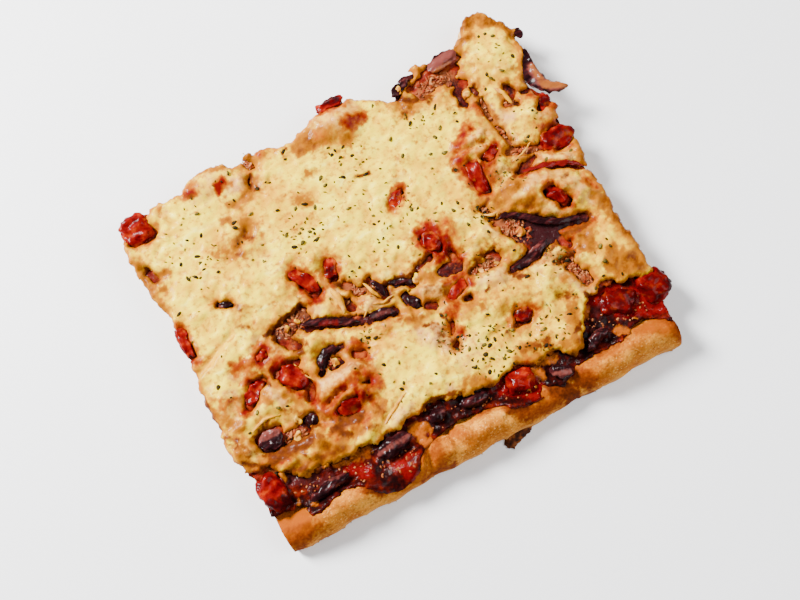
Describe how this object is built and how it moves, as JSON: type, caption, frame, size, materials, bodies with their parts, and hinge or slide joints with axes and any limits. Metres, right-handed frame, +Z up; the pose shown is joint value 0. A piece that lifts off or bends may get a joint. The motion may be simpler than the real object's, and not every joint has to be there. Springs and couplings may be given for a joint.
{
  "type": "tuna pizza slice",
  "caption": "Square slice of tray-baked tuna pizza: bread base with a raised crust on one side, tomato sauce, flaked tuna, melted cheese, tomato chunks, red onion and herbs.",
  "frame": {"origin": "the middle of the slice's flat underside, on the surface that it rests on", "axes": "X runs along the raised crust, left to right; Y runs from the crust (at minus Y) to the cut side opposite it; Z is up, with the cheese on top"},
  "size_m": [0.2169, 0.1832, 0.0224],
  "materials": {
    "dough": "baked bread crust, matt, golden brown with darker oily patches",
    "sauce": "cooked tomato and onion sauce, dark red, wet",
    "tuna": "flaked cooked tuna, pinkish beige, moist",
    "cheese": "melted cheese, pale cream yellow with golden spots, soft oily gloss, dried herbs on it",
    "tomato": "baked tomato flesh, deep red, wet",
    "onion": "roasted red onion, mauve to purple black, glossy"
  },
  "bodies": {
    "root": {"dough": "dough", "tomato_sauce": "sauce", "tuna": "tuna", "cheese": "cheese", "tomato_01": "tomato", "tomato_02": "tomato", "tomato_03": "tomato", "tomato_04": "tomato", "tomato_05": "tomato", "tomato_06": "tomato", "tomato_07": "tomato", "tomato_08": "tomato", "tomato_09": "tomato", "tomato_10": "tomato", "tomato_11": "tomato", "tomato_12": "tomato", "tomato_13": "tomato", "tomato_14": "tomato", "tomato_15": "tomato", "tomato_16": "tomato", "tomato_17": "tomato", "tomato_18": "tomato", "tomato_19": "tomato", "tomato_20": "tomato", "tomato_21": "tomato", "tomato_22": "tomato", "tomato_23": "tomato", "onion_01": "onion", "onion_02": "onion", "onion_03": "onion", "onion_04": "onion", "onion_05": "onion", "onion_06": "onion", "onion_07": "onion", "onion_08": "onion", "onion_09": "onion", "onion_10": "onion", "onion_11": "onion", "onion_12": "onion", "onion_13": "onion", "onion_14": "onion", "onion_15": "onion", "onion_16": "onion", "onion_17": "onion", "onion_18": "onion", "onion_19": "onion", "onion_20": "onion", "onion_21": "onion", "onion_22": "onion"}
  },
  "joints": []
}
